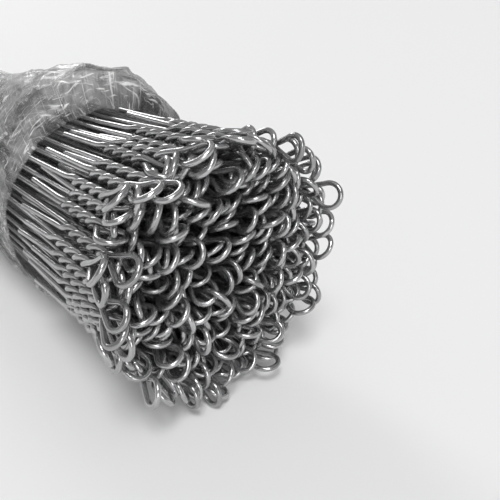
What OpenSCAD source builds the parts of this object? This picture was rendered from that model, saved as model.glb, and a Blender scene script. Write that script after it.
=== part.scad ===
// Bundle of single-loop bale ties in a sleeve of stretch film.
// Each tie is one steel wire bent back on itself: a loop, a twisted shank, a cut tail and a long straight wire.
// Millimetres, +Z up. The bundle lies along X with its loops at +X and rests on Z = 0.

/* [Wire] */
// Diameter of the drawn wire
wire_d = 2.32; // [2.1:0.01:2.36]
// Length of a tie from the tip of its loop to its cut end
tie_len = 2134; // [1500:1:3000]

/* [Tie end] */
// Radius of the loop along the middle of the wire
loop_r = 5.4; // [5.2:0.01:5.5]
// Angle at which the legs of the loop close on the shank
leg_lean = 25; // [23:1:28]
// Length of one full turn of the twist
twist_pitch = 16; // [14:0.5:18]
// Gap between the long wire and the tail
tail_gap = 0.4; // [0.3:0.05:0.5]
// Length over which they part behind the twist
parting_len = 5; // [4:0.5:7]
// Length of the tail behind the twist
tail_len = 36; // [25:1:40]
// Share of the tail by which one tie differs from the next
tail_vary_share = 0.3; // [0:0.05:0.4]

/* [Bundle] */
// Distance between layers of ties at the loops
loop_pitch = 7; // [7:0.05:7.4]
// Distance between layers of ties at the cut ends
packed_pitch = 3.15; // [3.13:0.01:3.4]
// Turn of each loop out of its layer
shingle = 34; // [32:1:36]
// Step back of every second layer of loops
layer_step = 26; // [24:1:30]
// Play of one loop along the bundle against the next
loop_play = 2; // [0:0.1:2.5]
// Distance that the leading ties stand forward of the outer layer
lead = 10; // [9:0.5:12]

/* [Film] */
// Thickness of the wound film
film_t = 0.6; // [0.5:0.05:0.8]
// Clearance of the film around the wires at the cut ends
film_clear = 0.35; // [0.3:0.05:0.6]
// Clearance of the film around the wires at the loops
mouth_clear = 5; // [4.8:0.1:6.5]
// Distance from the loops to the mouth on the top
mouth_back = 102; // [100:1:130]
// Further distance back of the mouth on the underside
mouth_slant = 12; // [0:1:30]
// Height of the loose film that bulges behind the mouth
cuff_rise = 15; // [6:1:18]
// Length of the loose film
cuff_len = 150; // [120:5:200]
// Wire left bare at the cut ends
bare_end = 70; // [40:5:120]

/* [Hidden] */
// Ties in each layer, from the middle outward; every fifth of the last layer leads.
layer_counts = [1, 4, 11, 19, 28, 35, 42, 51, 55];
leading_every = 5;
room_share = 0.2;
last_layer = len(layer_counts) - 1;
// Turns of the twist; at these the tail lies square to the loop.
twist_turns = 2.25;
// The wire is drawn four-sided, with the area of the round one.
wire_corners = 4;
wire_side = wire_d * sqrt(PI) / 2;
wire_half = wire_side / 2;
wire_corner = wire_half * sqrt(2);
// Half thickness of the twist between its two strands.
waist_share = 0.6;
waist = wire_half * waist_share;
// Where the two wires lie beside the middle of the shank.
wire_off = wire_half + tail_gap / 2;
// Heights along a tie, from the tip of its loop down.
shoulder_x = loop_r * cos(leg_lean);
shoulder_z = -loop_r * (1 + sin(leg_lean));
throat_z = shoulder_z - (shoulder_x - wire_off) / tan(leg_lean);
twist_len = twist_turns * twist_pitch;
twist_z = throat_z - twist_len;
loop_steps = 6;
twist_steps = 12;
// Stations of the bundle along X.
bundle_len = tie_len + layer_step + lead + wire_half;
loop_x = bundle_len / 2 - lead - wire_half;
cut_x = loop_x - tie_len;
// Heights of the middle of the bundle above the floor.
cut_mid = last_layer * packed_pitch + wire_corner + film_clear + film_t;
loop_mid = last_layer * loop_pitch + wire_corner + mouth_clear + film_t;
film_sides = 16;
film_side_turn = 360 / film_sides;

// Place on the straight line of a tie that stands at an angle from the top of its layer.
function loop_share(x) = (x - cut_x) / (loop_x - cut_x);
function pitch_at(x) = packed_pitch + loop_share(x) * (loop_pitch - packed_pitch);
function mid_at(x) = cut_mid + loop_share(x) * (loop_mid - cut_mid);
function place(layer, turn, x) = [x, layer * pitch_at(x) * sin(turn), mid_at(x) + layer * pitch_at(x) * cos(turn)];
function is_leading(layer, i) = layer == last_layer && i % leading_every == 0;
// Ties beside a leading one make room for its shank.
function nudge(layer, i) = let (m = i % leading_every)
  layer < last_layer || m == 0 ? 0 : room_share * (leading_every - 1 - m) / (leading_every - 2);
function tie_turn(layer, i) = -360 * (i + nudge(layer, i) + (layer % 2) / 2) / layer_counts[layer];
function forward(layer, i) = (is_leading(layer, i) ? lead : 0) - (layer % 2) * layer_step;
function play(layer, i) = is_leading(layer, i) ? 0 : loop_play * abs(sin(i * 137 + layer * 50));
function tail_at(layer, i) = tail_len * (1 + tail_vary_share * sin(i * 97 + layer * 31));
function unit(v) = v / norm(v);

// The round of the loop, from one shoulder over the tip to the other, as angles from +X.
loop_turns = [for (i = [0 : loop_steps]) -leg_lean + i * (180 + 2 * leg_lean) / loop_steps];

// Middle line of a tie with straight strands, as a hairpin in its own plane.
function hairpin(wire_z, tail_z) = concat(
  [[wire_off, wire_z], [wire_off, throat_z]],
  [for (a = loop_turns) [loop_r * cos(a), loop_r * (sin(a) - 1)]],
  [[-wire_off, throat_z], [-wire_off, tail_z]]
);

// Mitred step from the middle line to the side of the wire.
function side_step(p, i) = let (
  last = len(p) - 1,
  d0 = unit(p[max(1, i)] - p[max(0, i - 1)]),
  d1 = unit(p[min(last, i + 1)] - p[min(last - 1, i)]),
  t = unit(d0 + d1)
) [-t.y, t.x] * wire_half / (t * d1);

// A tie of the inner layers.
module plain_tie(wire_z, tail_z) {
  p = hairpin(wire_z, tail_z);
  last = len(p) - 1;
  outline = concat(
    [for (i = [0 : last]) p[i] + side_step(p, i)],
    [for (i = [last : -1 : 0]) p[i] - side_step(p, i)]
  );
  translate([-wire_off, 0, 0])
    rotate([90, 0, 0])
      linear_extrude(height = wire_side, center = true) polygon(outline);
}

// Outline of the twist: two strands side by side, drawn in between them.
strand_pair = [
  [wire_side, -wire_half],
  [wire_side, wire_half],
  [0, waist],
  [-wire_side, wire_half],
  [-wire_side, -wire_half],
  [0, -waist]
];
pair = len(strand_pair);
function turned(p, turn, z) = [p.x * cos(turn) - p.y * sin(turn), p.x * sin(turn) + p.y * cos(turn), z];
function pair_ring(turn, z) = [for (p = strand_pair) turned(p, turn, z)];

// Four corners of a single wire beside the middle of the shank.
function wire_ring(off, turn, z) = [
  for (c = [[1, -1], [1, 1], [-1, 1], [-1, -1]]) turned([off + c.x * wire_half, c.y * wire_half], turn, z)
];

// Four corners of the wire around the loop: outside near, outside far, inside far, inside near.
function loop_ring(a) = [
  for (c = [[1, -1], [1, 1], [-1, 1], [-1, -1]]) let (r = loop_r + c.x * wire_half)
    [r * cos(a), c.y * wire_half, r * sin(a) - loop_r]
];

// Skin between two rows of corners; the short diagonal is taken.
function skin(a, b) = [for (j = [0 : len(a) - 1]) let (k = (j + 1) % len(a))
  each [[a[j], a[k], b[k]], [a[j], b[k], b[j]]]];
function row(first, size) = [for (j = [0 : size - 1]) first + j];
function flipped(faces) = [for (f = faces) [f[0], f[2], f[1]]];

// A tie of the outer layer, with its two strands wound on each other.
module twisted_tie(wire_z, tail_z) {
  end_turn = 360 * twist_turns;
  steps = [for (i = [0 : twist_steps]) i / twist_steps];
  // Rows of corners: the twist from its foot up, the loop, then the long wire and the tail.
  twist_points = [for (s = steps) each pair_ring(end_turn * (1 - s), twist_z + s * twist_len)];
  loop_points = [for (a = loop_turns) each loop_ring(a)];
  long_points = concat(
    wire_ring(wire_off, end_turn, wire_z),
    wire_ring(wire_off, end_turn, twist_z - parting_len)
  );
  tail_points = concat(
    wire_ring(-wire_off, end_turn, tail_z),
    wire_ring(-wire_off, end_turn, twist_z - parting_len)
  );
  loop_first = len(twist_points);
  long_first = loop_first + len(loop_points);
  tail_first = long_first + len(long_points);
  foot = row(0, pair);
  head = row(twist_steps * pair, pair);
  twist_skin = [for (i = [0 : twist_steps - 1]) each skin(row(i * pair, pair), row((i + 1) * pair, pair))];
  loop_rows = concat(
    [[head[0], head[1], head[2], head[5]]],
    [for (i = [0 : loop_steps]) row(loop_first + i * wire_corners, wire_corners)],
    [[head[4], head[3], head[2], head[5]]]
  );
  loop_skin = [for (i = [0 : len(loop_rows) - 2]) each skin(loop_rows[i], loop_rows[i + 1])];
  long_rows = [
    row(long_first, wire_corners),
    row(long_first + wire_corners, wire_corners),
    [foot[0], foot[1], foot[2], foot[5]]
  ];
  tail_rows = [
    row(tail_first, wire_corners),
    row(tail_first + wire_corners, wire_corners),
    [foot[2], foot[3], foot[4], foot[5]]
  ];
  tail_lined = [
    for (r = [tail_rows[0], tail_rows[1]]) [r[1], r[2], r[3], r[0]]
  ];
  long_skin = concat(skin(long_rows[0], long_rows[1]), skin(long_rows[1], long_rows[2]));
  tail_skin = concat(skin(tail_lined[0], tail_lined[1]), skin(tail_lined[1], tail_rows[2]));
  cuts = [for (r = [long_rows[0], tail_lined[0]]) each [[r[0], r[2], r[1]], [r[0], r[3], r[2]]]];
  faces = concat(twist_skin, loop_skin, long_skin, tail_skin, cuts);
  middle = turned([wire_off, 0], end_turn, 0);
  translate(-middle)
    polyhedron(
      points = concat(twist_points, loop_points, long_points, tail_points),
      faces = flipped(faces),
      convexity = 4
    );
}

// One tie in its place, its long wire straight from the loops to the cut ends.
module tie(layer, i, twisted) {
  turn = tie_turn(layer, i);
  slide = play(layer, i);
  tip = place(layer, turn, loop_x + forward(layer, i) - slide);
  line = place(layer, turn, loop_x) - place(layer, turn, cut_x);
  tail_z = twist_z - tail_at(layer, i);
  translate(tip)
    rotate([0, acos(line.z / norm(line)), atan2(line.y, line.x)])
      rotate([0, 0, 270 - turn - shingle])
        if (twisted) twisted_tie(slide - tie_len, tail_z);
        else plain_tie(slide - tie_len, tail_z);
}

module layers(first, last) {
  for (layer = [first : last])
    for (i = [0 : layer_counts[layer] - 1]) tie(layer, i, false);
}

module core_ties() {
  color("slategray") layers(0, 4);
}

module inner_ties() {
  color("lightslategray") layers(5, 6);
}

module second_layer_ties() {
  color("slategray") layers(7, last_layer - 1);
}

module outer_ties() {
  color("lightsteelblue")
    for (i = [0 : layer_counts[last_layer] - 1])
      if (!is_leading(last_layer, i)) tie(last_layer, i, true);
}

module leading_ties() {
  color("silver")
    for (i = [0 : layer_counts[last_layer] - 1])
      if (is_leading(last_layer, i)) tie(last_layer, i, true);
}

// The film runs from its mouth behind the tails nearly to the cut ends.
mouth_x = loop_x - mouth_back;
film_end_x = cut_x - layer_step + bare_end;
cuff_shares = [0, 0.06, 0.15, 0.3, 0.55, 1];
film_x = concat([for (s = cuff_shares) mouth_x - s * cuff_len], [film_end_x]);
function back_share(x) = min(1, (mouth_x - x) / cuff_len);
// The film holds the wires at its mouth, bulges behind it and falls back to them.
function bulge_share(x) = sin(180 * sqrt(back_share(x)));
// Turns from the top, seen from the loops, of the highest loose film and of the mouth's foremost side.
cuff_turn = 30;
front_turn = 20;

function film_ring(x, inset) = let (
  mid = mid_at(x),
  corner = (mid - inset) / cos(film_side_turn / 2)
) [for (j = [0 : film_sides - 1]) let (
  turn = (j + 0.5) * film_side_turn,
  r = corner + cuff_rise * bulge_share(x) * pow(max(0, cos(turn - cuff_turn)), 2),
  slant = mouth_slant * pow(1 - back_share(x), 2) * (1 - cos(turn - front_turn)) / 2
) [x - slant, r * sin(turn), mid + r * cos(turn)]];

module film_wrap() {
  rings = len(film_x);
  points = concat(
    [for (x = film_x) each film_ring(x, 0)],
    [for (x = film_x) each film_ring(x, film_t)]
  );
  rows = [for (k = [0 : 2 * rings - 1]) row(k * film_sides, film_sides)];
  outer = [for (k = [0 : rings - 2]) each skin(rows[k], rows[k + 1])];
  inner = [for (k = [0 : rings - 2]) each flipped(skin(rows[rings + k], rows[rings + k + 1]))];
  ends = concat(skin(rows[rings], rows[0]), skin(rows[rings - 1], rows[2 * rings - 1]));
  color("gainsboro", 0.4)
    polyhedron(points = points, faces = concat(outer, inner, ends), convexity = 4);
}

core_ties();
inner_ties();
second_layer_ties();
outer_ties();
leading_ties();
film_wrap();
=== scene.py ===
"""Bundle of single-loop bale ties in a sleeve of stretch film, dressed over its solids."""

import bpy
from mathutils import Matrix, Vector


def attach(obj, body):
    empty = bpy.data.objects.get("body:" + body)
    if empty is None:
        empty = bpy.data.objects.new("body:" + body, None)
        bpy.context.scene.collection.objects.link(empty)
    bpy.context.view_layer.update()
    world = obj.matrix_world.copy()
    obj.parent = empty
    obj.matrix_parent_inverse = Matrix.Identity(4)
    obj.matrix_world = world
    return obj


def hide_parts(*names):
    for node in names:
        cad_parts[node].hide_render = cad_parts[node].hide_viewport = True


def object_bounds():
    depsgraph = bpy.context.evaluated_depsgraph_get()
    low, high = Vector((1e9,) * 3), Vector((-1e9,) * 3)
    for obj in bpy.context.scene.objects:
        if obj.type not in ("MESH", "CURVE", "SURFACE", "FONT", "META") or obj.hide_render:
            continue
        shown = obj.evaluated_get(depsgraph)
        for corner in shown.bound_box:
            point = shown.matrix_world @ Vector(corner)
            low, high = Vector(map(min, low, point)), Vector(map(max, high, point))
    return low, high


bl_info = {
    "name": "Bale tie bundle",
    "version": (1, 0, 0),
    "blender": (4, 5, 0),
    "location": "View3D > Sidebar > Bale ties",
    "description": "Sweeps the looped wires of the bundle, wraps them in film and sets the stage",
    "category": "Object",
}

import math

import bpy
import numpy as np
from mathutils import Matrix, Vector, noise
from mathutils.kdtree import KDTree

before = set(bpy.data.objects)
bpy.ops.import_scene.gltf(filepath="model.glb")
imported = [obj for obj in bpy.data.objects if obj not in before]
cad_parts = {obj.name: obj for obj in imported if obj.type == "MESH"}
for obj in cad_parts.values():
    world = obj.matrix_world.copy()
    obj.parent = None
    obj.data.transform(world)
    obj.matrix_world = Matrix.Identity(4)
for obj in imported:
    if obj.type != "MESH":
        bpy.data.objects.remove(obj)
CAD_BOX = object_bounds()

TIE_LENGTH, LAYER_STEP = 2.134, 0.026
# Stations of the cut ends and of the tips of the outer loops, to a hundredth of a millimetre.
CUT_STATION = round(CAD_BOX[0][0] + LAYER_STEP, 5)
LOOP_STATION = round(CUT_STATION + TIE_LENGTH, 5)
# How far the film's mouth lies behind those tips, and its end before the cut ends.
MOUTH_BACK, BARE_END = 0.102, 0.044

LAYER_COUNTS = (1, 4, 11, 19, 28, 35, 42, 51, 55)
LAST_LAYER = len(LAYER_COUNTS) - 1
LEADING_EVERY = 5
# Share of a tie's own place that the ties beside a leading one give up to it.
ROOM_SHARE = 0.2
# Node, its layers, sides of the swept wire and steps round the loop.
TIE_GROUPS = (
    ("core_ties", range(0, 5), 8, 14),
    ("inner_ties", range(5, 7), 8, 16),
    ("second_layer_ties", range(7, 8), 10, 18),
    ("outer_ties", range(8, 9), 12, 20),
    ("leading_ties", range(8, 9), 12, 22),
)

# Share of the way that the outer loops turn to the common facing; those of the other layers turn fully.
FACING_SHARES = {LAST_LAYER: 0.4, LAST_LAYER - 1: 0.7}
# Spread of the loops' turn: leading ties, the rest of the last layer, the layers inside.
LEADING_SPREAD, LAST_SPREAD, INSIDE_SPREAD = 0.2, 0.4, 0.55
# Roll at which a loop faces the top.
TOP_ROLL = 1.5 * math.pi
# How far a tie may slide along the bundle, least and most.
LEADING_SLIDE, OTHER_SLIDE = (-0.004, 0.0), (-0.005, 0.008)
# Length from the tip over which a tie has to clear the others.
CLEARED_LENGTH = 0.115
# In wire diameters: how far apart the middles of touching wires are, and the lowest middle above the floor.
TOUCH_SHARE, FLOOR_SHARE = 0.95, 0.6
# How much more a wire sunk in the floor counts than one that bites into another.
SUNK_WEIGHT = 100

# Wire diameters between a strand and the middle of its twist.
STRAND_SHARE = 0.505
POINTS_PER_TURN, LEAST_TWIST_POINTS, LEG_POINTS = 9, 8, 4
# Rounding of the bends into and out of the twist, and of the parting of the tail.
TWIST_ROUNDING, PARTING_ROUNDING = 0.0012, 0.003
# How far behind the twist's foot the tail parts, and behind its throat the loop starts to bow.
PARTING_SETBACK = 0.004
# Where the points of the twist, the legs and the straight stretches begin, from the ends of the twist.
PAST_FOOT, PAST_THROAT, LEG_START, STRAIGHT_START = 0.002, 0.0015, 0.0032, 0.006
# Length of the last step before a cut, which keeps the pale shade on the cut face.
CUT_STEP = 0.0004
# Where the middle point of a tail lies between its cut and the foot of the twist.
TAIL_MIDDLE_SHARE = 0.4
# Points along the straight wire: behind the twist, then from the tip.
BEHIND_TWIST = (STRAIGHT_START, 0.02, 0.035)
FROM_TIP = (0.115, 0.14, 0.17, 0.21, 0.27, 0.35, 0.45, 0.6, 0.8, 1.1, 1.4, 1.8)
# Slight waves of the straight wire: where they start, their size, and rates across the loop and out of it.
WAVE_START, WAVE_SIZE, WAVE_RATES = 0.12, 0.0005, (5.1, 4.3)

# Faces with more corners than a side of the wire are its cut ends, which stay flat.
SIDE_CORNERS = 4
# Brightness of the steel over draw streaks and from tie to tie, and of its cleanest mottle.
STREAK_TONES, TIE_TONES, CLEAN_TONE = (0.86, 1.14), (0.84, 1.16), 1.1
# How its roughness changes over streaks and mottle.
STREAK_ROUGH, MOTTLE_ROUGH = (-0.05, 0.06), (0.06, -0.03)
# Spread of the ties over the pattern of draw marks, so that no two show the same.
MARK_SPREAD = 37.0
# Steel of the inner layers against that of the outer ones: lighter, as painted light that lifts the shade
# deep in the bundle.
INNER_PAINTED_LIFT = 1.04
# Sockets of a Mix node that mixes colours.
MIX_A, MIX_B, MIX_RESULT = 6, 7, 2

# Film: turns from the top at which the cuff bulges most and the mouth reaches furthest.
BULGE_TURN, MOUTH_TURN = math.radians(30), math.radians(20)
# Angles round the bead of the rolled rim.
RIM_ANGLES = [math.radians(a) for a in range(255, -60, -35)]
# Rows of the film: even steps behind the mouth, then steps that grow.
NEAR_STEP, FAR_STEP, STEP_GROWTH, LONGEST_STEP = 0.0016, 0.002, 1.1, 0.05
# How far the windings run round the film, one way and the other, in radians for each metre.
WIND_RATE, COUNTER_RATE = 9.0, 6.0
# Waves of the creases round the film and their rate along it, and the share of the depth that each has.
BROAD_CREASE, CROSS_CREASE, FINE_CREASE = (2.6, 11), (4.4, 17), (11, 40)
CREASE_SHARES = (0.9, 0.6, 0.3)
CREST_SHARPNESS = 2.4
# How free the film is to crease: everywhere, how much more at the mouth, and how far back that reaches.
LEAST_FREE, MOUTH_FREE, FREE_REACH = 0.18, 0.25, 0.05
# Shares of the waist's pull that lower the film and that narrow it.
PULL_DOWN_SHARE, PULL_IN_SHARE = 0.45, 0.88
# How deep the film sinks onto the wires at the cut ends, how much deeper at the loops, and the wires' ridges.
GRIP_AT_CUTS, GRIP_GAIN, RIDGE_HEIGHT = 0.0008, 0.0030, 0.00025
# Wobble of the mouth along the bundle: its size, waves round it, and how far back it reaches.
WOBBLE_SIZE, WOBBLE_WAVES, WOBBLE_REACH = 0.004, 2.5, 0.04
# Bead of the rolled rim: its radius, how much that varies, waves round it, and the step to its own seed.
BEAD_RADIUS, BEAD_VARY, BEAD_WAVES, BEAD_SEED = 0.0010, 0.0003, 2, 4
# Haze of the film: everywhere, at the mouth, taken off at the rim, on the bulge and in crumples.
LEAST_HAZE, MOUTH_HAZE, RIM_CLEARING, BULGE_HAZE, CRUMPLE_HAZE = 0.04, 0.46, 0.4, 0.3, 0.3
# Shares of the broad and cross creases in a crumple, and how far back the rim and the mouth's haze reach.
CRUMPLE_SHARES, RIM_REACH, HAZE_REACH = (0.6, 0.4), 0.003, 0.2
# The film's colour where it is clear and where it is white from stretching and painted glints, against its
# haze colour.
CLEAR_TINT, WHITE_TINT = 0.4, 5.0
# Shares of streaks (painted glints among them) and haze in how white the film is, and in how much it covers.
WHITE_SHARES, COVER_SHARES = (0.5, 0.4), (0.35, 0.2)
# The over-wrap runs between these distances behind the mouth.
WRAP_SETBACK, WRAP_REACH = 0.034, 0.9
# Lowest the film comes to the floor.
LEAST_HEIGHT = 0.0003

# Studio lights: name, share of the key strength, the way they shine and their spread in degrees.
STUDIO_LIGHTS = (
    ("key", 1.0, (-0.35, 0.3, -1.0), 24),
    ("back_light", 0.46, (0.88, -0.2, -0.42), 19),
    ("front_light", 0.5, (-0.8, 0.42, -0.42), 26),
)
# Grey of the studio by height, from the horizon to overhead.
STUDIO_GREYS = ((0.0, 0.85), (0.1, 0.8), (0.2, 0.36), (0.5, 0.28), (0.72, 0.33), (1.0, 0.5))
FLOOR_HALF = 60.0


class TieShape(bpy.types.PropertyGroup):
    wire_diameter: bpy.props.FloatProperty(
        name="Wire diameter", description="Diameter of the drawn wire",
        default=0.00255, unit="LENGTH", precision=5)
    tie_length: bpy.props.FloatProperty(
        name="Tie length", description="From the tip of the loop to the cut end",
        default=TIE_LENGTH, unit="LENGTH")
    loop_radius: bpy.props.FloatProperty(
        name="Loop radius", description="Radius of the loop along the middle of the wire",
        default=0.0054, unit="LENGTH", precision=5)
    leg_lean: bpy.props.FloatProperty(
        name="Leg lean", description="Angle at which the legs close on the shank",
        default=math.radians(25), unit="ROTATION")
    twist_pitch: bpy.props.FloatProperty(
        name="Twist pitch", description="Length of one full turn of the twist", default=0.016, unit="LENGTH")
    twist_turns: bpy.props.FloatProperty(
        name="Twist turns", description="Turns of the two strands on each other", default=2.25)
    tail_length: bpy.props.FloatProperty(
        name="Tail length", description="Cut tail behind the twist", default=0.036, unit="LENGTH")
    tail_vary: bpy.props.FloatProperty(
        name="Tail difference", description="Share by which the tails differ", default=0.3, subtype="FACTOR")
    steel_colour: bpy.props.FloatVectorProperty(
        name="Steel", description="Colour of the drawn wire", default=(0.45, 0.45, 0.455), subtype="COLOR")
    cut_colour: bpy.props.FloatVectorProperty(
        name="Cut face", description="Colour of the sheared ends", default=(0.6, 0.6, 0.6), subtype="COLOR")


class BundleLay(bpy.types.PropertyGroup):
    loop_station: bpy.props.FloatProperty(
        name="Loop station", description="Where the outer loops end along the bundle",
        default=LOOP_STATION, unit="LENGTH", precision=5)
    cut_station: bpy.props.FloatProperty(
        name="Cut station", description="Where the wires are cut off",
        default=CUT_STATION, unit="LENGTH", precision=5)
    loop_height: bpy.props.FloatProperty(
        name="Height at the loops", description="Middle of the bundle above the floor at the loops",
        default=0.06305, unit="LENGTH", precision=5)
    cut_height: bpy.props.FloatProperty(
        name="Height at the cut ends", description="Middle of the bundle above the floor at the cut ends",
        default=0.02760, unit="LENGTH", precision=5)
    loop_pitch: bpy.props.FloatProperty(
        name="Pitch at the loops", description="Distance between layers at the loops",
        default=0.007, unit="LENGTH", precision=4)
    packed_pitch: bpy.props.FloatProperty(
        name="Pitch at the cut ends", description="Distance between layers at the cut ends",
        default=0.00315, unit="LENGTH", precision=5)
    shingle: bpy.props.FloatProperty(
        name="Shingle", description="Turn of each loop out of its layer",
        default=math.radians(34), unit="ROTATION")
    inner_face: bpy.props.FloatProperty(
        name="Inner face", description="Turn from the top to which the loops of the inner layers face",
        default=math.radians(-47), unit="ROTATION")
    settle: bpy.props.FloatProperty(
        name="Settle", description="How far the set-back loops slide forward among the others",
        default=0.023, unit="LENGTH")
    layer_step: bpy.props.FloatProperty(
        name="Layer step", description="Step back of every second layer", default=LAYER_STEP, unit="LENGTH")
    lead: bpy.props.FloatProperty(
        name="Lead", description="How far the leading ties stand forward", default=0.010, unit="LENGTH")
    waist_station: bpy.props.FloatProperty(
        name="Waist station", description="Where the film draws the ties in most",
        default=0.955, unit="LENGTH")
    waist_depth: bpy.props.FloatProperty(
        name="Waist depth", description="Share of the radius that the film draws in",
        default=0.075, subtype="FACTOR")
    waist_front: bpy.props.FloatProperty(
        name="Waist front", description="Length over which the ties spread towards the loops",
        default=0.075, unit="LENGTH")
    waist_back: bpy.props.FloatProperty(
        name="Waist back", description="Length over which the waist runs out towards the cut ends",
        default=0.35, unit="LENGTH")
    trials: bpy.props.IntProperty(
        name="Trials", description="Lays tried for each tie before the clearest is kept", default=80)
    seed: bpy.props.IntProperty(name="Seed", description="Seed of the jumble", default=11)


class FilmSleeve(bpy.types.PropertyGroup):
    mouth_station: bpy.props.FloatProperty(
        name="Mouth station", description="Foremost point of the mouth",
        default=LOOP_STATION - MOUTH_BACK, unit="LENGTH")
    end_station: bpy.props.FloatProperty(
        name="End station", description="Where the film stops before the cut ends",
        default=CUT_STATION + BARE_END, unit="LENGTH")
    mouth_slant: bpy.props.FloatProperty(
        name="Mouth slant", description="Further distance back of the mouth on the underside",
        default=0.012, unit="LENGTH")
    cuff_rise: bpy.props.FloatProperty(
        name="Cuff rise", description="Height of the loose film that bulges behind the mouth",
        default=0.015, unit="LENGTH")
    cuff_length: bpy.props.FloatProperty(
        name="Cuff length", description="Length of the loose cuff", default=0.15, unit="LENGTH")
    crease_depth: bpy.props.FloatProperty(
        name="Crease depth", description="Depth of the creases in the loose film",
        default=0.0022, unit="LENGTH", precision=4)
    haze_colour: bpy.props.FloatVectorProperty(
        name="Haze", description="Colour of the stretched film", default=(0.19, 0.19, 0.19), subtype="COLOR")


class StudioStage(bpy.types.PropertyGroup):
    floor_colour: bpy.props.FloatVectorProperty(
        name="Floor", description="Colour of the floor", default=(0.88, 0.88, 0.88), subtype="COLOR")
    key_strength: bpy.props.FloatProperty(
        name="Key light", description="Strength of the soft key light", default=1.45)
    camera_place: bpy.props.FloatVectorProperty(
        name="Camera", description="Where the camera stands", default=(1.2302, -0.1309, 0.1794),
        subtype="TRANSLATION", unit="LENGTH")
    camera_right: bpy.props.FloatVectorProperty(
        name="Camera right", description="Direction of the picture's right", default=(0.6647, 0.7470, 0.0096))
    camera_down: bpy.props.FloatVectorProperty(
        name="Camera down", description="Direction of the picture's foot", default=(0.3487, -0.2987, -0.8884))
    lens: bpy.props.FloatProperty(name="Lens", description="Focal length in mm", default=39.6)


class BaleTieSettings(bpy.types.PropertyGroup):
    tie: bpy.props.PointerProperty(type=TieShape, name="Tie", description="Shape of one tie")
    lay: bpy.props.PointerProperty(type=BundleLay, name="Lay", description="How the ties lie")
    film: bpy.props.PointerProperty(type=FilmSleeve, name="Film", description="The film sleeve")
    stage: bpy.props.PointerProperty(type=StudioStage, name="Stage", description="Floor, light and camera")


def soft_ramp(x, width):
    """Zero below nought and rising one in one above it, with a rounded corner."""
    return width * np.logaddexp(0, np.asarray(x) / width)


def loop_share(lay, x):
    """Share of the way from the cut ends to the loops."""
    return (x - lay.cut_station) / (lay.loop_station - lay.cut_station)


def place(lay, layer, turn, x):
    """Point on the straight line of a tie at a station along the bundle."""
    share = loop_share(lay, x)
    radius = layer * (lay.packed_pitch + share * (lay.loop_pitch - lay.packed_pitch))
    middle = lay.cut_height + share * (lay.loop_height - lay.cut_height)
    return np.array([x, radius * math.sin(turn), middle + radius * math.cos(turn)])


def drawn_in(lay, x):
    """Share of the radius by which the film's hold narrows the bundle at a station."""
    off = np.asarray(x) - lay.waist_station
    return lay.waist_depth * np.exp(-(off / np.where(off > 0, lay.waist_front, lay.waist_back)) ** 2)


def gathered(lay, layer, turn, x):
    """Shift of a tie under the film's hold, sideways and up, at stations along the bundle."""
    pitch = lay.packed_pitch + loop_share(lay, x) * (lay.loop_pitch - lay.packed_pitch)
    pull = drawn_in(lay, x) * pitch
    return np.stack([-pull * layer * math.sin(turn), -pull * (layer * math.cos(turn) + LAST_LAYER / 2)], 1)


def is_leading(layer, i):
    return layer == LAST_LAYER and i % LEADING_EVERY == 0


def tie_turn(layer, i):
    """Angle of a tie from the top of its layer; ties beside a leading one make room for it."""
    m = i % LEADING_EVERY
    room = 0
    if layer == LAST_LAYER and m:
        room = ROOM_SHARE * (LEADING_EVERY - 1 - m) / (LEADING_EVERY - 2)
    return -2 * math.pi * (i + room + (layer % 2) / 2) / LAYER_COUNTS[layer]


def loop_face(lay, layer, turn):
    """Turn to which a loop faces: out of its layer in the outer layers, all one way in the inner ones."""
    own = turn + lay.shingle
    away = (lay.inner_face - own + math.pi / 2) % math.pi - math.pi / 2
    return own + away * FACING_SHARES.get(layer, 1.0)


def tie_frame(lay, layer, turn, roll):
    """Axes of a tie as columns: across its loop, out of its loop, and along it to the tip."""
    along = place(lay, layer, turn, lay.loop_station) - place(lay, layer, turn, lay.cut_station)
    along = along / np.linalg.norm(along)
    yaw = math.atan2(along[1], along[0])
    pitch = math.acos(along[2])
    spin = Matrix.Rotation(yaw, 3, "Z") @ Matrix.Rotation(pitch, 3, "Y") @ Matrix.Rotation(roll, 3, "Z")
    return np.array(spin)


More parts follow.
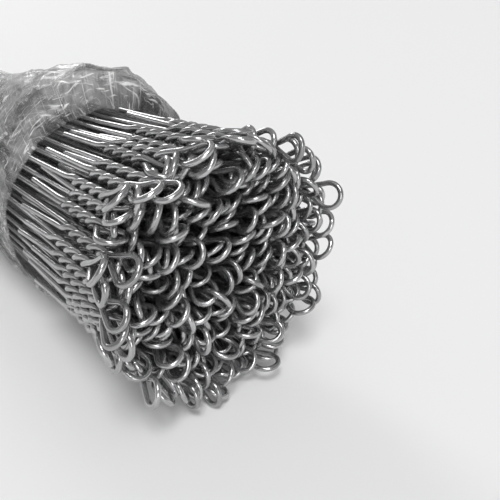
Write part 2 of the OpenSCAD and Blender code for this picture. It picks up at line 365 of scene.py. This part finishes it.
def tie_line(tie, loop_steps, bend):
    """Middle line of one tie from its tail round the loop to the cut end, tip at the origin, loop upright."""
    r = STRAND_SHARE * tie.wire_diameter
    ring = tie.loop_radius * bend["size"]
    lean = tie.leg_lean
    pitch = tie.twist_pitch * bend["pitch"]
    shoulder_x = ring * math.cos(lean)
    shoulder_z = -ring * (1 + math.sin(lean))
    throat = shoulder_z - (shoulder_x - r) / math.tan(lean)
    foot = throat - bend["turns"] * pitch
    k = 2 * math.pi / pitch

    def strand(z, tail):
        z = np.asarray(z)
        out = r + math.tan(lean) * soft_ramp(z - throat, TWIST_ROUNDING)
        turn = k * (soft_ramp(throat - z, TWIST_ROUNDING) - soft_ramp(foot - z, TWIST_ROUNDING))
        if tail:
            turn = turn + math.pi
            out = out + bend["splay"] * soft_ramp(foot - PARTING_SETBACK - z, PARTING_ROUNDING)
        return np.stack([out * np.cos(turn), out * np.sin(turn), z], 1)

    twist_points = max(LEAST_TWIST_POINTS, round(POINTS_PER_TURN * bend["turns"]))
    shank = np.linspace(foot - PAST_FOOT, throat + PAST_THROAT, twist_points + 2)
    legs = np.linspace(throat + LEG_START, shoulder_z, LEG_POINTS)
    tail_end = foot - bend["tail"]
    tail_middle = tail_end * (1 - TAIL_MIDDLE_SHARE) + foot * TAIL_MIDDLE_SHARE
    tail = np.array([tail_end, tail_end + CUT_STEP, tail_middle, foot - STRAIGHT_START])
    end = -tie.tie_length + bend["end"]
    wire = np.array([foot - d for d in BEHIND_TWIST] + [-d for d in FROM_TIP] + [end + CUT_STEP, end])
    turns = np.linspace(math.pi + lean, -lean, loop_steps + 1)[1:-1]
    loop = np.stack([ring * np.cos(turns), 0 * turns, ring * np.sin(turns) - ring], 1)
    up = np.concatenate([tail, shank, legs])
    down = np.concatenate([legs[::-1], shank[::-1], wire])
    line = np.concatenate([strand(up, True), loop, strand(down, False)])
    last_turn = k * (throat - foot)
    line[:, :2] -= r * np.array([math.cos(last_turn), math.sin(last_turn)])
    bow = soft_ramp(line[:, 2] - throat + PARTING_SETBACK, PARTING_ROUNDING)
    line[:, 0] += bend["sway"] * bow
    line[:, 1] += bend["nod"] * bow
    wave = np.clip(-line[:, 2] - WAVE_START, 0, None)
    for axis, rate in enumerate(WAVE_RATES):
        line[:, axis] += bend["wave"] * np.sin(wave * rate) * WAVE_SIZE
    return line


def tie_bend(tie, rng, spread):
    """One draw of the small differences between ties."""
    return {
        "size": rng.uniform(0.96, 1.1),
        "pitch": rng.uniform(0.97, 1.08),
        "turns": tie.twist_turns + rng.uniform(-0.3, 0.3),
        "tail": tie.tail_length * (1 + rng.uniform(-1, 1) * tie.tail_vary),
        "splay": rng.uniform(0.01, 0.07),
        "sway": rng.normal(0, 0.12) * (0.5 + spread / 2),
        "nod": rng.normal(0, 0.2) * (0.4 + spread),
        "wave": rng.normal(0, 1),
        "end": rng.uniform(-0.003, 0.003),
    }


def lay_ties(tie, lay):
    """Lays every tie in turn where it best clears those already laid, and returns the lines by node."""
    rng = np.random.default_rng(lay.seed)
    crowd = []
    lines = {name: [] for name, *_ in TIE_GROUPS}
    steps = {name: s for name, _, _, s in TIE_GROUPS}
    touch = tie.wire_diameter * TOUCH_SHARE
    for layer, count in enumerate(LAYER_COUNTS):
        for i in range(count):
            leads = is_leading(layer, i)
            name = next(n for n, layers, *_ in TIE_GROUPS if layer in layers)
            name = "leading_ties" if leads else name
            turn = tie_turn(layer, i)
            forward = lay.lead if leads else (layer % 2) * (lay.settle - lay.layer_step)
            spread = LEADING_SPREAD if leads else LAST_SPREAD if layer == LAST_LAYER else INSIDE_SPREAD
            tree = KDTree(max(1, len(crowd)))
            for n, p in enumerate(crowd):
                tree.insert(p, n)
            tree.balance()
            best = None
            for _ in range(lay.trials):
                bend = tie_bend(tie, rng, spread)
                shift = rng.uniform(*(LEADING_SLIDE if leads else OTHER_SLIDE))
                roll = TOP_ROLL - loop_face(lay, layer, turn) + rng.normal(0, spread)
                tip = place(lay, layer, turn, lay.loop_station + forward + shift)
                bend["end"] += forward + shift + (layer % 2) * lay.layer_step
                local = tie_line(tie, steps[name], bend)
                line = local @ tie_frame(lay, layer, turn, roll).T + tip
                line[:, 1:] += gathered(lay, layer, turn, line[:, 0])
                sunk = np.clip(tie.wire_diameter * FLOOR_SHARE - line[:, 2], 0, None)
                probe = line[local[:, 2] > -CLEARED_LENGTH]
                gaps = np.array([tree.find(p)[2] for p in probe]) if crowd else np.full(len(probe), 1.0)
                bite = float((np.clip(touch - gaps, 0, None) ** 2).sum() + SUNK_WEIGHT * (sunk ** 2).sum())
                if best is None or bite < best[0]:
                    best = (bite, line, probe)
                if bite == 0:
                    break
            lines[name].append(best[1])
            crowd += list(best[2])
    return lines


def wire_tree():
    """Geometry nodes that sweep a round wire along every polyline and mark its run, side and cut ends."""
    tree = bpy.data.node_groups.new("swept_wire", "GeometryNodeTree")
    face = tree.interface
    face.new_socket("Geometry", in_out="INPUT", socket_type="NodeSocketGeometry")
    face.new_socket("Wire Radius", in_out="INPUT", socket_type="NodeSocketFloat")
    face.new_socket("Sides", in_out="INPUT", socket_type="NodeSocketInt")
    face.new_socket("Material", in_out="INPUT", socket_type="NodeSocketMaterial")
    face.new_socket("Geometry", in_out="OUTPUT", socket_type="NodeSocketGeometry")
    n, link = tree.nodes, tree.links.new
    given = n.new("NodeGroupInput")
    made = n.new("NodeGroupOutput")
    curve = n.new("GeometryNodeMeshToCurve")
    link(given.outputs["Geometry"], curve.inputs["Mesh"])
    run = n.new("GeometryNodeSplineParameter")
    keep_run = stored(n, "wire_run", "FLOAT")
    link(curve.outputs["Curve"], keep_run.inputs["Geometry"])
    link(run.outputs["Length"], keep_run.inputs["Value"])
    ends = n.new("GeometryNodeCurveEndpointSelection")
    keep_ends = stored(n, "wire_cut", "FLOAT")
    link(keep_run.outputs["Geometry"], keep_ends.inputs["Geometry"])
    link(ends.outputs["Selection"], keep_ends.inputs["Value"])
    profile = n.new("GeometryNodeCurvePrimitiveCircle")
    link(given.outputs["Sides"], profile.inputs["Resolution"])
    link(given.outputs["Wire Radius"], profile.inputs["Radius"])
    where = n.new("GeometryNodeInputPosition")
    unit = n.new("ShaderNodeVectorMath")
    unit.operation = "NORMALIZE"
    link(where.outputs["Position"], unit.inputs[0])
    keep_side = stored(n, "wire_side", "FLOAT_VECTOR")
    link(profile.outputs["Curve"], keep_side.inputs["Geometry"])
    link(unit.outputs["Vector"], keep_side.inputs["Value"])
    sweep = n.new("GeometryNodeCurveToMesh")
    sweep.inputs["Fill Caps"].default_value = True
    link(keep_ends.outputs["Geometry"], sweep.inputs["Curve"])
    link(keep_side.outputs["Geometry"], sweep.inputs["Profile Curve"])
    faces = n.new("GeometryNodeInputMeshFaceNeighbors")
    few = n.new("FunctionNodeCompare")
    few.data_type = "INT"
    few.operation = "LESS_EQUAL"
    count, limit = [socket for socket in few.inputs if socket.type == "INT"]
    link(faces.outputs["Vertex Count"], count)
    limit.default_value = SIDE_CORNERS
    smooth = n.new("GeometryNodeSetShadeSmooth")
    link(sweep.outputs["Mesh"], smooth.inputs["Geometry"])
    link(few.outputs["Result"], smooth.inputs["Shade Smooth"])
    real = n.new("GeometryNodeRealizeInstances")
    link(smooth.outputs["Geometry"], real.inputs["Geometry"])
    paint = n.new("GeometryNodeSetMaterial")
    link(real.outputs["Geometry"], paint.inputs["Geometry"])
    link(given.outputs["Material"], paint.inputs["Material"])
    link(paint.outputs["Geometry"], made.inputs["Geometry"])
    return tree


def stored(nodes, name, kind):
    """A node that keeps a value on the points under a name."""
    made = nodes.new("GeometryNodeStoreNamedAttribute")
    made.data_type = kind
    made.domain = "POINT"
    made.inputs["Name"].default_value = name
    return made


def socket_id(tree, name):
    """Identifier of a tree's named input."""
    return next(s.identifier for s in tree.interface.items_tree
                if s.item_type == "SOCKET" and s.in_out == "INPUT" and s.name == name)


def polylines(name, lines, rng):
    """A mesh of bare edges, one chain a tie, with a tone for each tie."""
    points = np.concatenate(lines)
    edges, tones, first = [], [], 0
    for line in lines:
        edges += [(first + n, first + n + 1) for n in range(len(line) - 1)]
        tones += [rng.uniform(0, 1)] * len(line)
        first += len(line)
    mesh = bpy.data.meshes.new(name)
    mesh.from_pydata(points.tolist(), edges, [])
    mesh.attributes.new("tie_tone", "FLOAT", "POINT").data.foreach_set("value", np.array(tones, np.float32))
    return mesh


def finished(obj, tree, values):
    """Runs a node tree on an object and keeps the result as its plain mesh."""
    modifier = obj.modifiers.new("sweep", "NODES")
    modifier.node_group = tree
    for name, value in values.items():
        modifier[socket_id(tree, name)] = value
    bpy.context.view_layer.update()
    graph = bpy.context.evaluated_depsgraph_get()
    mesh = bpy.data.meshes.new_from_object(obj.evaluated_get(graph), depsgraph=graph)
    obj.modifiers.clear()
    bare = obj.data
    obj.data = mesh
    mesh.name = obj.name
    bpy.data.meshes.remove(bare)
    if not mesh.polygons:
        raise RuntimeError(f"{obj.name} came out with no faces")


def linked(name, data):
    """A new object in the scene."""
    obj = bpy.data.objects.new(name, data)
    bpy.context.scene.collection.objects.link(obj)
    return obj


def node(tree, kind, **values):
    made = tree.nodes.new(kind)
    for key, value in values.items():
        setattr(made, key, value)
    return made


def feed(tree, target, **values):
    """Sets or links the named inputs of a shader node; an underscore stands for a space."""
    for key, value in values.items():
        socket = target.inputs[key.replace("_", " ")]
        if isinstance(value, bpy.types.NodeSocket):
            tree.links.new(value, socket)
        else:
            socket.default_value = value


def maths(tree, operation, a, b=None, c=None):
    made = node(tree, "ShaderNodeMath", operation=operation)
    for socket, value in zip(made.inputs, (a, b, c)):
        if isinstance(value, bpy.types.NodeSocket):
            tree.links.new(value, socket)
        elif value is not None:
            socket.default_value = value
    return made.outputs[0]


def ranged(tree, value, low, high, to_low, to_high):
    made = node(tree, "ShaderNodeMapRange", clamp=True)
    feed(tree, made, Value=value, From_Min=low, From_Max=high, To_Min=to_low, To_Max=to_high)
    return made.outputs["Result"]


def draw_marks_group():
    """Marks of the drawing die along a wire: fine streaks, and slow changes of tone along its run."""
    tree = bpy.data.node_groups.new("draw_marks", "ShaderNodeTree")
    face = tree.interface
    for name, kind in (("Run", "NodeSocketFloat"), ("Side", "NodeSocketVector"), ("Tone", "NodeSocketFloat")):
        face.new_socket(name, in_out="INPUT", socket_type=kind)
    for name in ("Streak", "Mottle", "Height"):
        face.new_socket(name, in_out="OUTPUT", socket_type="NodeSocketFloat")
    given = node(tree, "NodeGroupInput")
    made = node(tree, "NodeGroupOutput")
    split = node(tree, "ShaderNodeSeparateXYZ")
    tree.links.new(given.outputs["Side"], split.inputs[0])
    shift = maths(tree, "MULTIPLY", given.outputs["Tone"], MARK_SPREAD)

    def field(side_scale, run_scale, detail):
        spot = node(tree, "ShaderNodeCombineXYZ")
        feed(tree, spot,
             X=maths(tree, "MULTIPLY_ADD", split.outputs["X"], side_scale, shift),
             Y=maths(tree, "MULTIPLY", split.outputs["Y"], side_scale),
             Z=maths(tree, "MULTIPLY", given.outputs["Run"], run_scale))
        cloud = node(tree, "ShaderNodeTexNoise", noise_dimensions="3D")
        feed(tree, cloud, Vector=spot.outputs[0], Scale=1.0, Detail=detail, Roughness=0.6)
        return cloud.outputs["Fac"]

    streak = field(side_scale=5.0, run_scale=28.0, detail=3.0)
    mottle = field(side_scale=0.9, run_scale=160.0, detail=4.0)
    tree.links.new(ranged(tree, streak, 0.32, 0.68, 0, 1), made.inputs["Streak"])
    tree.links.new(ranged(tree, mottle, 0.35, 0.65, 0, 1), made.inputs["Mottle"])
    tree.links.new(maths(tree, "ADD", streak, maths(tree, "MULTIPLY", mottle, 0.4)), made.inputs["Height"])
    return tree


def attribute(tree, name):
    return node(tree, "ShaderNodeAttribute", attribute_name=name, attribute_type="GEOMETRY")


def drawn_steel(name, marks, colour, cut_colour, rough, grime):
    """Bright drawn wire: draw streaks, tone that differs by tie, grime in the mottle, pale sheared ends."""
    made = bpy.data.materials.new(name)
    made.use_nodes = True
    tree = made.node_tree
    shader = tree.nodes["Principled BSDF"]
    tone = attribute(tree, "tie_tone").outputs["Fac"]
    group = node(tree, "ShaderNodeGroup", node_tree=marks)
    feed(tree, group, Run=attribute(tree, "wire_run").outputs["Fac"],
         Side=attribute(tree, "wire_side").outputs["Vector"], Tone=tone)
    streak, mottle = group.outputs["Streak"], group.outputs["Mottle"]
    shade = maths(tree, "MULTIPLY", ranged(tree, streak, 0, 1, *STREAK_TONES),
                  maths(tree, "MULTIPLY", ranged(tree, mottle, 0, 1, 1 - grime, CLEAN_TONE),
                        ranged(tree, tone, 0, 1, *TIE_TONES)))
    steel = node(tree, "ShaderNodeMix", data_type="RGBA", blend_type="MULTIPLY")
    steel.inputs["Factor"].default_value = 1
    steel.inputs[MIX_A].default_value = (*colour, 1)
    tree.links.new(shade, steel.inputs[MIX_B])
    ends = node(tree, "ShaderNodeMix", data_type="RGBA")
    tree.links.new(attribute(tree, "wire_cut").outputs["Fac"], ends.inputs["Factor"])
    tree.links.new(steel.outputs[MIX_RESULT], ends.inputs[MIX_A])
    ends.inputs[MIX_B].default_value = (*cut_colour, 1)
    bump = node(tree, "ShaderNodeBump")
    feed(tree, bump, Height=group.outputs["Height"], Strength=0.12, Distance=0.0002)
    roughness = maths(tree, "ADD", ranged(tree, streak, 0, 1, *[rough + v for v in STREAK_ROUGH]),
                      ranged(tree, mottle, 0, 1, *MOTTLE_ROUGH))
    feed(tree, shader, Base_Color=ends.outputs[MIX_RESULT], Metallic=0.9, Roughness=roughness,
         Normal=bump.outputs["Normal"])
    return made


def film_radius(lay, film, x, turn):
    """The sleeve at a station and an angle from the top: middle height, radius, set-back and bulge."""
    middle = lay.cut_height + loop_share(lay, x) * (lay.loop_height - lay.cut_height)
    back = min(1.0, max(0.0, (film.mouth_station - x) / film.cuff_length))
    bulge = math.sin(math.pi * math.sqrt(back)) * max(0.0, math.cos(turn - BULGE_TURN)) ** 2
    slant = film.mouth_slant * (1 - back) ** 2 * (1 - math.cos(turn - MOUTH_TURN)) / 2
    return middle, middle + film.cuff_rise * bulge, slant, bulge


def round_noise(waves, turn, seed):
    """Smooth noise round the film."""
    return noise.noise(Vector((waves * math.cos(turn), waves * math.sin(turn), seed)))


def crease(kind, turn, back, seed_x=0.0, seed_y=0.0):
    """Ridged noise round the film and along it, sharp at the crests."""
    waves, rate = kind
    spot = Vector((waves * math.cos(turn) + seed_x, waves * math.sin(turn) + seed_y, back * rate))
    return 1 - CREST_SHARPNESS * abs(noise.noise(spot))


def film_stations(start, stop, even_rows):
    """Stations of the film's rows from its mouth back: even steps first, then steps that grow."""
    stations = [start - NEAR_STEP * n for n in range(even_rows)]
    step = FAR_STEP
    while stations[-1] - step > stop:
        stations.append(stations[-1] - step)
        step = min(LONGEST_STEP, step * STEP_GROWTH)
    return stations + [stop]


def film_haze(back, rolled, bulge, free, crumple):
    """How hazy the film is at a distance behind its mouth."""
    rim = 1.0 if rolled else math.exp(-back / RIM_REACH)
    near = math.exp(-(back / HAZE_REACH) ** 2)
    crumpled = CRUMPLE_HAZE * crumple * free * near
    haze = LEAST_HAZE + (MOUTH_HAZE - RIM_CLEARING * rim) * near + BULGE_HAZE * bulge + crumpled
    return min(1.0, max(0.0, haze))


def film_mesh(lay, film, name, start, stop, columns, lift, even_rows, seed):
    """One layer of the sleeve as a lofted skin with creases, a rolled rim and windings to draw streaks on."""
    stations = film_stations(start, stop, even_rows)
    rows = [(start, curl) for curl in RIM_ANGLES] + [(x, None) for x in stations]
    verts, wind, cross, haze = [], [], [], []
    for x, curl in rows:
        back = start - x
        rolled = curl is not None
        for c in range(columns):
            turn = 2 * math.pi * c / columns
            under = max(0.0, -math.cos(turn))
            middle, radius, slant, bulge = film_radius(lay, film, x, turn)
            pull = float(drawn_in(lay, x)) * middle
            middle -= PULL_DOWN_SHARE * pull
            radius -= PULL_IN_SHARE * pull * (1 - under ** 2)
            free = min(1.0, LEAST_FREE + bulge + MOUTH_FREE * math.exp(-back / FREE_REACH))
            lean, counter = turn + back * WIND_RATE, turn - back * COUNTER_RATE
            creases = (crease(BROAD_CREASE, lean, back, seed_x=seed),
                       crease(CROSS_CREASE, counter, back, seed_y=seed),
                       crease(FINE_CREASE, lean, back, seed_y=seed))
            push = film.crease_depth * free * sum(v * share for v, share in zip(creases, CREASE_SHARES))
            ridge = RIDGE_HEIGHT * (1 - free) * math.cos(LAYER_COUNTS[-1] * turn)
            grip = GRIP_AT_CUTS + GRIP_GAIN * loop_share(lay, x)
            grip *= (1 - bulge) * (1 - under ** 3)
            r = radius + lift - grip + push + ridge - film.crease_depth / 2 * free
            wobble = WOBBLE_SIZE * round_noise(WOBBLE_WAVES, turn, seed) * math.exp(-back / WOBBLE_REACH)
            along = x - slant + wobble
            if rolled:
                bead = BEAD_RADIUS + BEAD_VARY * round_noise(BEAD_WAVES, turn, seed + BEAD_SEED)
                along += bead * math.cos(curl)
                r += bead * (1 + math.sin(curl))
            verts.append((along, r * math.sin(turn), max(LEAST_HEIGHT, middle + r * math.cos(turn))))
            wind.append((math.cos(lean), math.sin(lean), back))
            cross.append((math.cos(counter), math.sin(counter), back))
            crumple = sum(v * share for v, share in zip(creases, CRUMPLE_SHARES))
            haze.append(film_haze(back, rolled, bulge, free, crumple))
    faces = [(r * columns + c, (r + 1) * columns + c,
              (r + 1) * columns + (c + 1) % columns, r * columns + (c + 1) % columns)
             for r in range(len(rows) - 1) for c in range(columns)]
    mesh = bpy.data.meshes.new(name)
    mesh.from_pydata(verts, [], faces)
    mesh.polygons.foreach_set("use_smooth", [True] * len(faces))
    for key, values in (("film_wind", wind), ("film_cross", cross)):
        mesh.attributes.new(key, "FLOAT_VECTOR", "POINT").data.foreach_set(
            "vector", np.array(values, np.float32).ravel())
    mesh.attributes.new("film_haze", "FLOAT", "POINT").data.foreach_set("value", np.array(haze, np.float32))
    return mesh


def film_streak_group():
    """Stretch lines, crumples and haze of wound film: hoops round it, slanting lines and short painted
    glints.
    """
    tree = bpy.data.node_groups.new("film_streaks", "ShaderNodeTree")
    face = tree.interface
    for name in ("Wind", "Cross"):
        face.new_socket(name, in_out="INPUT", socket_type="NodeSocketVector")
    for name in ("Streak", "Haze", "Height"):
        face.new_socket(name, in_out="OUTPUT", socket_type="NodeSocketFloat")
    given = node(tree, "NodeGroupInput")
    made = node(tree, "NodeGroupOutput")

    def field(way, scale, detail, distort):
        spot = node(tree, "ShaderNodeMapping")
        tree.links.new(given.outputs[way], spot.inputs["Vector"])
        spot.inputs["Scale"].default_value = scale
        cloud = node(tree, "ShaderNodeTexNoise", noise_dimensions="3D")
        feed(tree, cloud, Vector=spot.outputs[0], Scale=1.0, Detail=detail, Roughness=0.62,
             Distortion=distort)
        return cloud.outputs["Fac"]

    hoops = field("Wind", (4, 4, 380), detail=3.0, distort=0.4)
    slants = field("Cross", (85, 85, 16), detail=3.0, distort=0.4)
    crumple = field("Wind", (22, 22, 110), detail=6.0, distort=1.4)
    broad = field("Cross", (3.5, 3.5, 22), detail=5.0, distort=0.8)
    flecks = maths(tree, "MAXIMUM", ranged(tree, hoops, 0.58, 0.66, 0, 1),
                   ranged(tree, slants, 0.6, 0.67, 0, 1))
    # The crumples also whiten the streaks: painted glints, white in the film's colour.
    streak = maths(tree, "MAXIMUM", flecks, ranged(tree, crumple, 0.58, 0.68, 0, 0.9))
    tree.links.new(streak, made.inputs["Streak"])
    tree.links.new(ranged(tree, broad, 0.34, 0.68, 0, 1), made.inputs["Haze"])
    lines = maths(tree, "ADD", maths(tree, "MULTIPLY", hoops, 0.5), maths(tree, "MULTIPLY", slants, 0.5))
    height = maths(tree, "MULTIPLY_ADD", crumple, 1.2, maths(tree, "MULTIPLY_ADD", broad, 1.5, lines))
    tree.links.new(height, made.inputs["Height"])
    return tree


def stretch_film(name, streaks, colour, clear, hazy):
    """Clear film gone hazy where it is stretched and crumpled, its colour whitened by streaks with painted
    glints.
    """
    made = bpy.data.materials.new(name)
    made.use_nodes = True
    tree = made.node_tree
    shader = tree.nodes["Principled BSDF"]
    group = node(tree, "ShaderNodeGroup", node_tree=streaks)
    feed(tree, group, Wind=attribute(tree, "film_wind").outputs["Vector"],
         Cross=attribute(tree, "film_cross").outputs["Vector"])
    loose = attribute(tree, "film_haze").outputs["Fac"]
    streak, haze = group.outputs["Streak"], group.outputs["Haze"]
    by_streak, by_haze = WHITE_SHARES
    white = maths(tree, "MULTIPLY_ADD", streak, by_streak, maths(tree, "MULTIPLY", haze, by_haze))
    tint = node(tree, "ShaderNodeMix", data_type="RGBA")
    tree.links.new(ranged(tree, white, 0.1, 0.85, 0, 1), tint.inputs["Factor"])
    tint.inputs[MIX_A].default_value = (*[CLEAR_TINT * v for v in colour], 1)
    tint.inputs[MIX_B].default_value = (*[min(1, WHITE_TINT * v) for v in colour], 1)
    bump = node(tree, "ShaderNodeBump")
    feed(tree, bump, Height=group.outputs["Height"], Strength=0.6, Distance=0.0015)
    by_streak, by_haze = COVER_SHARES
    cover = maths(tree, "MULTIPLY_ADD", streak, by_streak, maths(tree, "MULTIPLY_ADD", haze, by_haze, loose))
    feed(tree, shader, Base_Color=tint.outputs[MIX_RESULT], Roughness=ranged(tree, haze, 0, 1, 0.2, 0.4),
         Alpha=ranged(tree, cover, 0.2, 1.0, clear, hazy), Normal=bump.outputs["Normal"],
         Coat_Roughness=0.1, Coat_Weight=ranged(tree, streak, 0, 1, 0.3, 0.9))
    return made


class BALETIES_OT_ties(bpy.types.Operator):
    """Sweep the looped wires of all layers of the bundle"""

    bl_idname = "bale_ties.make_ties"
    bl_label = "Make ties"

    def execute(self, context):
        settings = context.scene.bale_ties
        tie, lay = settings.tie, settings.lay
        lines = lay_ties(tie, lay)
        tree = wire_tree()
        marks = draw_marks_group()
        colour, cut = tuple(tie.steel_colour), tuple(tie.cut_colour)
        # The inner layers get a lighter copy of the steel: painted light against the shade among the wires
        # inside.
        inner_lit_colour = [INNER_PAINTED_LIFT * v for v in colour]
        bright = drawn_steel("drawn_steel", marks, colour, cut, rough=0.18, grime=0.2)
        inner = drawn_steel("drawn_steel_inner_lit", marks, inner_lit_colour, cut, rough=0.22, grime=0.22)
        rng = np.random.default_rng(lay.seed + 1)
        for name, layers, sides, _ in TIE_GROUPS:
            obj = linked(name + "_wires", polylines(name + "_wires", lines[name], rng))
            steel = inner if max(layers) < LAST_LAYER - 1 else bright
            finished(obj, tree, {"Wire Radius": tie.wire_diameter / 2, "Sides": sides, "Material": steel})
            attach(obj, "root")
            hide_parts(name)
        return {"FINISHED"}


class BALETIES_OT_film(bpy.types.Operator):
    """Wrap the bundle in its creased film sleeve"""

    bl_idname = "bale_ties.make_film"
    bl_label = "Make film"

    def execute(self, context):
        settings = context.scene.bale_ties
        lay, film = settings.lay, settings.film
        streaks = film_streak_group()
        colour = tuple(film.haze_colour)
        mouth = film.mouth_station
        sleeve = film_mesh(lay, film, "film_sleeve", mouth, film.end_station,
                           columns=330, lift=0.0, even_rows=110, seed=3.7)
        sleeve.materials.append(stretch_film("stretch_film", streaks, colour, clear=0.2, hazy=0.95))
        band = film_mesh(lay, film, "film_over_wrap", mouth - WRAP_SETBACK, mouth - WRAP_REACH,
                         columns=240, lift=0.0008, even_rows=60, seed=8.1)
        band.materials.append(stretch_film("stretch_film_outer", streaks, colour, clear=0.05, hazy=0.7))
        for mesh in (sleeve, band):
            obj = linked(mesh.name, mesh)
            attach(obj, "root")
            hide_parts("film_wrap")
        return {"FINISHED"}


def pale_floor(colour):
    """Even, matt floor."""
    made = bpy.data.materials.new("pale_floor")
    made.use_nodes = True
    tree = made.node_tree
    shader = tree.nodes["Principled BSDF"]
    cloud = node(tree, "ShaderNodeTexNoise")
    feed(tree, cloud, Scale=3.0, Detail=4.0)
    feed(tree, shader, Base_Color=(*colour, 1), Roughness=ranged(tree, cloud.outputs["Fac"], 0, 1, 0.75, 0.9))
    return made


def studio_world():
    """Grey studio, pale at the horizon."""
    world = bpy.data.worlds.new("studio")
    world.use_nodes = True
    tree = world.node_tree
    spot = node(tree, "ShaderNodeTexCoord")
    split = node(tree, "ShaderNodeSeparateXYZ")
    tree.links.new(spot.outputs["Generated"], split.inputs[0])
    ramp = node(tree, "ShaderNodeValToRGB")
    tree.links.new(split.outputs["Z"], ramp.inputs["Fac"])
    stops = ramp.color_ramp.elements
    stops[0].position, stops[1].position = STUDIO_GREYS[0][0], STUDIO_GREYS[-1][0]
    for at, _ in STUDIO_GREYS[1:-1]:
        stops.new(at)
    for stop, (_, level) in zip(stops, STUDIO_GREYS):
        stop.color = (level, level, level, 1)
    tree.links.new(ramp.outputs["Color"], tree.nodes["Background"].inputs["Color"])
    return world


def photo_camera(stage):
    """Camera at the photograph's viewing angle."""
    data = bpy.data.cameras.new("camera")
    data.lens = stage.lens
    data.sensor_width = 36
    data.clip_start, data.clip_end = 0.005, 200
    camera = linked("camera", data)
    right, down = Vector(stage.camera_right), Vector(stage.camera_down)
    back = right.cross(-down)
    turn = Matrix((right, -down, back)).transposed().to_4x4()
    camera.matrix_world = Matrix.Translation(stage.camera_place) @ turn
    return camera


class BALETIES_OT_stage(bpy.types.Operator):
    """Set the floor, the light and the camera"""

    bl_idname = "bale_ties.set_stage"
    bl_label = "Set stage"

    def execute(self, context):
        scene = context.scene
        stage = scene.bale_ties.stage
        corners = [(x * FLOOR_HALF, y * FLOOR_HALF, 0) for x, y in ((-1, -1), (1, -1), (1, 1), (-1, 1))]
        floor = bpy.data.meshes.new("floor")
        floor.from_pydata(corners, [], [(0, 1, 2, 3)])
        floor.materials.append(pale_floor(tuple(stage.floor_colour)))
        linked("floor", floor)
        for name, share, way, spread in STUDIO_LIGHTS:
            sun = bpy.data.lights.new(name, "SUN")
            sun.energy = stage.key_strength * share
            sun.angle = math.radians(spread)
            linked(name, sun).rotation_euler = Vector(way).to_track_quat("-Z", "Y").to_euler()
        scene.world = studio_world()
        scene.view_settings.view_transform = "Standard"
        scene.camera = photo_camera(stage)
        return {"FINISHED"}


class BALETIES_PT_panel(bpy.types.Panel):
    """Lists the pieces of the bundle"""

    bl_idname = "BALETIES_PT_panel"
    bl_label = "Bale ties"
    bl_space_type = "VIEW_3D"
    bl_region_type = "UI"
    bl_category = "Bale ties"

    def draw(self, context):
        settings = context.scene.bale_ties
        for title, group, operator in (
                ("Tie", settings.tie, None), ("Lay", settings.lay, BALETIES_OT_ties),
                ("Film", settings.film, BALETIES_OT_film), ("Stage", settings.stage, BALETIES_OT_stage)):
            box = self.layout.box()
            box.label(text=title)
            for key in group.__annotations__:
                box.prop(group, key)
            if operator:
                box.operator(operator.bl_idname)


CLASSES = (TieShape, BundleLay, FilmSleeve, StudioStage, BaleTieSettings,
           BALETIES_OT_ties, BALETIES_OT_film, BALETIES_OT_stage, BALETIES_PT_panel)


def register():
    for cls in CLASSES:
        bpy.utils.register_class(cls)
    bpy.types.Scene.bale_ties = bpy.props.PointerProperty(type=BaleTieSettings)


def unregister():
    del bpy.types.Scene.bale_ties
    for cls in reversed(CLASSES):
        bpy.utils.unregister_class(cls)


def main():
    register()
    bpy.ops.bale_ties.set_stage()
    bpy.ops.bale_ties.make_ties()
    bpy.ops.bale_ties.make_film()


if __name__ == "__main__":
    main()
